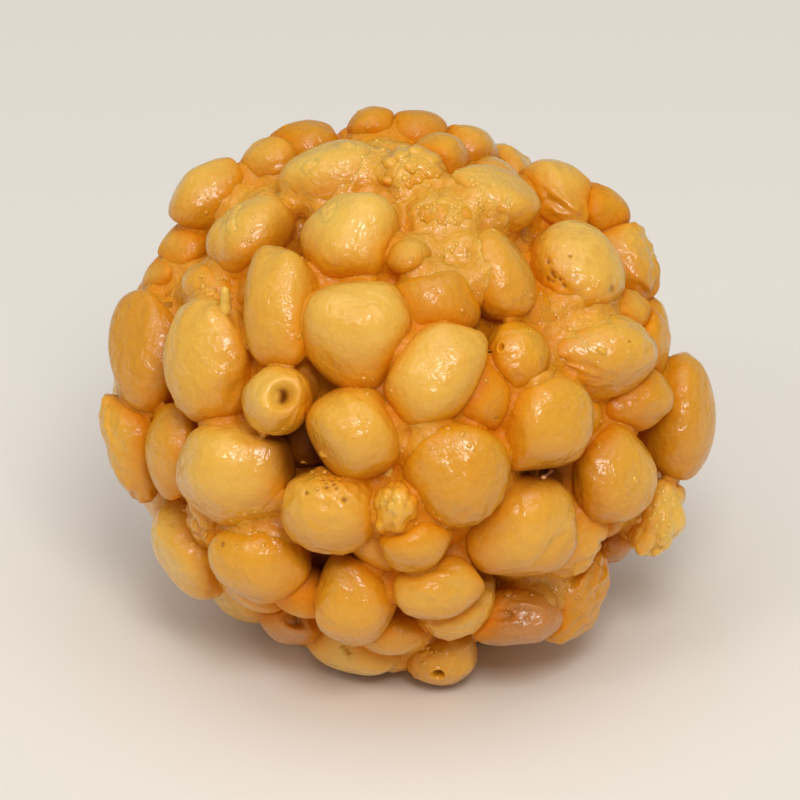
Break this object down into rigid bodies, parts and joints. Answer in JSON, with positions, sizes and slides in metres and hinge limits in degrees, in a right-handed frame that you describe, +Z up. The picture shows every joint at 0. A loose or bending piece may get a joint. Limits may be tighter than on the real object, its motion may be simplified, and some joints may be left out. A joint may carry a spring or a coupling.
{
  "type": "boondi ladoo",
  "caption": "Round sweet of fried gram-flour pearls, rolled into an uneven ball and stuck together with glossy boiled sugar, with a small flat spot to rest on.",
  "frame": {"origin": "middle of the flat spot that the ball rests on", "axes": "+Z up, out of the flat spot and through the ball; the front, the side that the picture shows, faces -Y; +X to its right"},
  "size_m": [0.0492, 0.0446, 0.0425],
  "materials": {
    "sugared_pearl": "glossy boiled sugar over fried gram-flour pearls, golden yellow to amber, browner in the gaps"
  },
  "bodies": {
    "root": {"ladoo": "sugared_pearl"}
  },
  "joints": []
}
